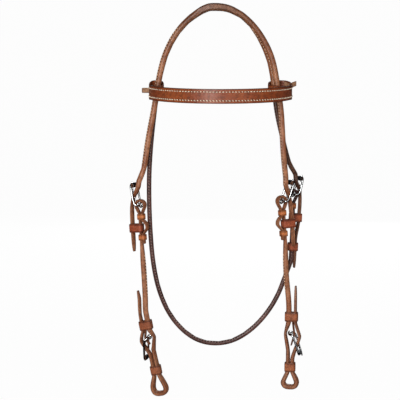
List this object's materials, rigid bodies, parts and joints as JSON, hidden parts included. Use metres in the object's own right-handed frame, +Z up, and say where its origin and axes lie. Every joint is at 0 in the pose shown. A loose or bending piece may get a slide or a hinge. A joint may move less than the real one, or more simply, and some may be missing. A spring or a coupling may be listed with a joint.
{
  "type": "western headstall",
  "caption": "Browband headstall of rolled leather with a throatlatch, wire buckles, keepers and looped bit ends, hanging as on a hook.",
  "frame": {"origin": "middle of the underside of the crown's pad, where the crown lies on the horse's poll", "axes": "+X to the right of someone who faces the browband, +Y away from them towards the throatlatch, +Z up along the hanging straps"},
  "size_m": [0.2185, 0.1086, 0.49],
  "materials": {
    "russet_strap": "oiled russet harness leather, rolled and stitched",
    "dark_strap": "dark oiled leather, rolled",
    "band_leather": "burnished harness leather with two rows of pale stitches",
    "lining_leather": "plain lining leather, flesh side in",
    "tan_keeper": "tan natural leather",
    "red_keeper": "red-brown leather with pale stitches",
    "lace": "raw latigo lace",
    "steel": "polished stainless wire"
  },
  "bodies": {
    "straps": {"crown": "russet_strap", "left_cheek_strap": "russet_strap", "left_upper_fold_keeper": "tan_keeper", "left_lower_fold_keeper": "tan_keeper", "left_bit_chape": "russet_strap", "right_cheek_strap": "russet_strap", "right_upper_fold_keeper": "tan_keeper", "right_lower_fold_keeper": "tan_keeper", "right_bit_chape": "russet_strap"},
    "browband": {"browband_face": "band_leather", "browband_lining": "lining_leather", "left_browband_tie": "lace", "right_browband_tie": "lace"},
    "throatlatch": {"throatlatch": "dark_strap", "throat_billet_strap": "dark_strap", "throat_fold_keeper": "tan_keeper"},
    "left_cheek_buckle_frame": {"left_cheek_buckle_frame": "steel"},
    "left_cheek_buckle_tongue": {"left_cheek_buckle_tongue": "steel"},
    "left_bit_buckle_frame": {"left_bit_buckle_frame": "steel"},
    "left_bit_buckle_tongue": {"left_bit_buckle_tongue": "steel"},
    "left_cheek_billet_keeper": {"left_cheek_billet_keeper": "red_keeper"},
    "left_bit_billet_keeper": {"left_bit_billet_keeper": "tan_keeper"},
    "left_bit_strap_keeper": {"left_bit_strap_keeper": "tan_keeper"},
    "right_cheek_buckle_frame": {"right_cheek_buckle_frame": "steel"},
    "right_cheek_buckle_tongue": {"right_cheek_buckle_tongue": "steel"},
    "right_bit_buckle_frame": {"right_bit_buckle_frame": "steel"},
    "right_bit_buckle_tongue": {"right_bit_buckle_tongue": "steel"},
    "right_cheek_billet_keeper": {"right_cheek_billet_keeper": "red_keeper"},
    "right_bit_billet_keeper": {"right_bit_billet_keeper": "tan_keeper"},
    "right_bit_strap_keeper": {"right_bit_strap_keeper": "tan_keeper"},
    "throat_buckle_frame": {"throat_buckle_frame": "steel"},
    "throat_buckle_tongue": {"throat_buckle_tongue": "steel"},
    "throat_billet_keeper": {"throat_billet_keeper": "red_keeper"},
    "throat_tip_keeper": {"throat_tip_keeper": "red_keeper"}
  },
  "joints": [
    {"name": "browband_slide", "type": "slide", "parent": "straps", "child": "browband", "axis": [0, 0, 1], "range_m": [0, 0.004]},
    {"name": "throat_swing", "type": "hinge", "parent": "straps", "child": "throatlatch", "pos_m": [0, 0.0041, -0.1055], "axis": [1, 0, 0], "range_deg": [0, 35]},
    {"name": "left_cheek_frame_tip", "type": "hinge", "parent": "straps", "child": "left_cheek_buckle_frame", "pos_m": [-0.0937, -0.0041, -0.239], "axis": [-0.4066, -0.9133, -0.0244], "range_deg": [0, 3]},
    {"name": "left_cheek_tongue_lift", "type": "hinge", "parent": "left_cheek_buckle_frame", "child": "left_cheek_buckle_tongue", "pos_m": [-0.0937, -0.0041, -0.239], "axis": [-0.4066, -0.9133, -0.0244], "range_deg": [0, 4]},
    {"name": "left_bit_frame_tip", "type": "hinge", "parent": "straps", "child": "left_bit_buckle_frame", "pos_m": [-0.0835, -0.0041, -0.4045], "axis": [0.2585, 0.9647, 0.0512], "range_deg": [0, 3]},
    {"name": "left_bit_tongue_lift", "type": "hinge", "parent": "left_bit_buckle_frame", "child": "left_bit_buckle_tongue", "pos_m": [-0.0835, -0.0041, -0.4045], "axis": [0.2585, 0.9647, 0.0512], "range_deg": [0, 4]},
    {"name": "left_cheek_billet_keeper_slide", "type": "slide", "parent": "straps", "child": "left_cheek_billet_keeper", "axis": [-0.0599, 0, 0.9982], "range_m": [0, 0.0025]},
    {"name": "left_bit_billet_keeper_slide", "type": "slide", "parent": "straps", "child": "left_bit_billet_keeper", "axis": [-0.1942, 0, 0.981], "range_m": [0, 0.008]},
    {"name": "left_bit_strap_keeper_slide", "type": "slide", "parent": "straps", "child": "left_bit_strap_keeper", "axis": [-0.1942, 0, 0.981], "range_m": [0, 0.003]},
    {"name": "right_cheek_frame_tip", "type": "hinge", "parent": "straps", "child": "right_cheek_buckle_frame", "pos_m": [0.0811, -0.0041, -0.2343], "axis": [-0.4066, 0.9132, -0.0285], "range_deg": [0, 3]},
    {"name": "right_cheek_tongue_lift", "type": "hinge", "parent": "right_cheek_buckle_frame", "child": "right_cheek_buckle_tongue", "pos_m": [0.0811, -0.0041, -0.2343], "axis": [-0.4066, 0.9132, -0.0285], "range_deg": [0, 4]},
    {"name": "right_bit_frame_tip", "type": "hinge", "parent": "straps", "child": "right_bit_buckle_frame", "pos_m": [0.0931, -0.0041, -0.3998], "axis": [-0.2419, -0.9703, 0.001], "range_deg": [0, 3]},
    {"name": "right_bit_tongue_lift", "type": "hinge", "parent": "right_bit_buckle_frame", "child": "right_bit_buckle_tongue", "pos_m": [0.0931, -0.0041, -0.3998], "axis": [-0.2419, -0.9703, 0.001], "range_deg": [0, 4]},
    {"name": "right_cheek_billet_keeper_slide", "type": "slide", "parent": "straps", "child": "right_cheek_billet_keeper", "axis": [-0.0698, 0, 0.9976], "range_m": [0, 0.0025]},
    {"name": "right_bit_billet_keeper_slide", "type": "slide", "parent": "straps", "child": "right_bit_billet_keeper", "axis": [0.004, 0, 1], "range_m": [0, 0.008]},
    {"name": "right_bit_strap_keeper_slide", "type": "slide", "parent": "straps", "child": "right_bit_strap_keeper", "axis": [0.004, 0, 1], "range_m": [0, 0.003]},
    {"name": "throat_frame_tip", "type": "hinge", "parent": "throatlatch", "child": "throat_buckle_frame", "pos_m": [0.0967, 0.0162, -0.2273], "axis": [-0.4067, 0.9134, 0.0146], "range_deg": [0, 3]},
    {"name": "throat_tongue_lift", "type": "hinge", "parent": "throat_buckle_frame", "child": "throat_buckle_tongue", "pos_m": [0.0967, 0.0162, -0.2273], "axis": [-0.4067, 0.9134, 0.0146], "range_deg": [0, 4]},
    {"name": "throat_billet_keeper_slide", "type": "slide", "parent": "throatlatch", "child": "throat_billet_keeper", "axis": [0.036, 0, 0.9994], "range_m": [0, 0.0025]},
    {"name": "throat_tip_keeper_slide", "type": "slide", "parent": "throatlatch", "child": "throat_tip_keeper", "axis": [0.036, 0, 0.9994], "range_m": [0, 0.0035]}
  ]
}
